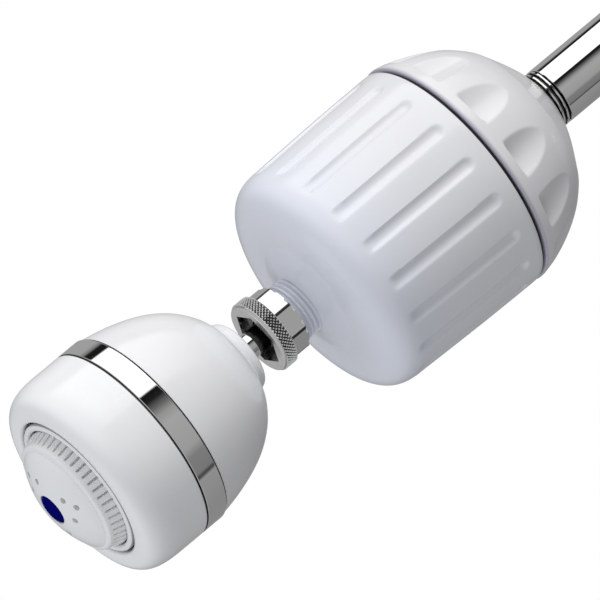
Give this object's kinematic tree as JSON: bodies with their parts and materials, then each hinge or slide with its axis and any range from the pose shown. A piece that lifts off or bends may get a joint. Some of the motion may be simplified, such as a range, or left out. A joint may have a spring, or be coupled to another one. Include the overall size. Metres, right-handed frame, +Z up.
{
  "type": "wall arm shower filter with swivel shower head",
  "caption": "White in-line shower filter on a chrome wall arm, with a round swivel shower head, a knurled chrome nut and a spray dial.",
  "frame": {"origin": "on the arm's centre line, in the plane of the finished wall, which is the back face of the wall flange", "axes": "+X into the wall, +Z up, +Y to the right for someone facing the wall's back; the arm leaves the wall towards -X and hangs down at 45 degrees"},
  "size_m": [0.3331, 0.0874, 0.2513],
  "materials": {
    "chrome_flange": "polished chrome plate",
    "chrome_arm": "polished chrome plate",
    "black_rubber": "moulded rubber",
    "white_cap": "glossy white ABS",
    "cartridge_white": "moulded polypropylene",
    "screen_steel": "stainless mesh",
    "felt": "needled felt",
    "granules": "packed copper and zinc granules",
    "white_housing": "glossy white ABS",
    "green_plastic": "moulded acetal",
    "chrome_nut": "chrome plated brass, knurled front",
    "black_acetal": "black acetal",
    "chrome_ball": "chrome plated brass",
    "white_rear": "glossy white ABS",
    "chrome_trim": "polished chrome plate",
    "white_front": "glossy white ABS",
    "grey_plastic": "moulded acetal",
    "screw_steel": "stainless steel",
    "white_ring": "white ABS",
    "white_dial": "white ABS",
    "navy": "glossy navy plastic",
    "nylon": "natural nylon"
  },
  "bodies": {
    "wall_side": {"wall_flange": "chrome_flange", "shower_arm": "chrome_arm", "inlet_washer": "black_rubber", "filter_cap": "white_cap", "housing_oring": "black_rubber"},
    "cartridge": {"cartridge_shell": "cartridge_white", "cartridge_top_screen": "screen_steel", "cartridge_bottom_screen": "screen_steel", "felt_pad_top": "felt", "felt_pad_bottom": "felt", "media_bed": "granules", "cartridge_seal": "black_rubber"},
    "housing": {"filter_housing": "white_housing", "inlet_screen": "screen_steel", "flow_restrictor": "green_plastic", "swivel_nut": "chrome_nut", "ball_seal": "black_rubber"},
    "friction_ring": {"swivel_ring": "black_acetal"},
    "ball": {"ball_stem": "chrome_ball", "stem_oring": "black_rubber"},
    "head": {"head_rear_shell": "white_rear", "chrome_band": "chrome_trim", "head_front_shell": "white_front", "manifold": "grey_plastic", "manifold_oring": "black_rubber", "manifold_screw_1": "screw_steel", "manifold_screw_2": "screw_steel", "manifold_screw_3": "screw_steel", "face_ring": "white_ring", "dial_seal": "black_rubber"},
    "dial": {"dial_face": "white_dial", "blue_cap": "navy", "dial_screw": "screw_steel"},
    "turbine": {"turbine": "nylon"}
  },
  "joints": [
    {"name": "cartridge_drop", "type": "slide", "parent": "wall_side", "child": "cartridge", "axis": [-0.7071, 0, -0.7071], "range_m": [0, 0.012]},
    {"name": "housing_unscrew", "type": "hinge", "parent": "cartridge", "child": "housing", "pos_m": [-0.17182, 0, -0.07697], "axis": [-0.7071, 0, -0.7071], "range_deg": [0, 1080]},
    {"name": "swivel_azimuth", "type": "hinge", "parent": "housing", "child": "friction_ring", "pos_m": [-0.22945, 0, -0.1346], "axis": [-0.7071, 0, -0.7071], "continuous": true},
    {"name": "swivel_tilt", "type": "hinge", "parent": "friction_ring", "child": "ball", "pos_m": [-0.22945, 0, -0.1346], "axis": [0, 1, 0], "range_deg": [-20, 20]},
    {"name": "head_turn", "type": "hinge", "parent": "ball", "child": "head", "pos_m": [-0.22945, 0, -0.1346], "axis": [-0.7071, 0, -0.7071], "continuous": true},
    {"name": "spray_select", "type": "hinge", "parent": "head", "child": "dial", "pos_m": [-0.28496, 0, -0.19011], "axis": [-0.7071, 0, -0.7071], "range_deg": [0, 120]},
    {"name": "turbine_spin", "type": "hinge", "parent": "head", "child": "turbine", "pos_m": [-0.27789, 0, -0.18304], "axis": [-0.7071, 0, -0.7071], "continuous": true}
  ],
  "couplings": [
    {"joint": "cartridge_drop", "follows": "housing_unscrew", "m_per_rad": 0.00063662}
  ]
}
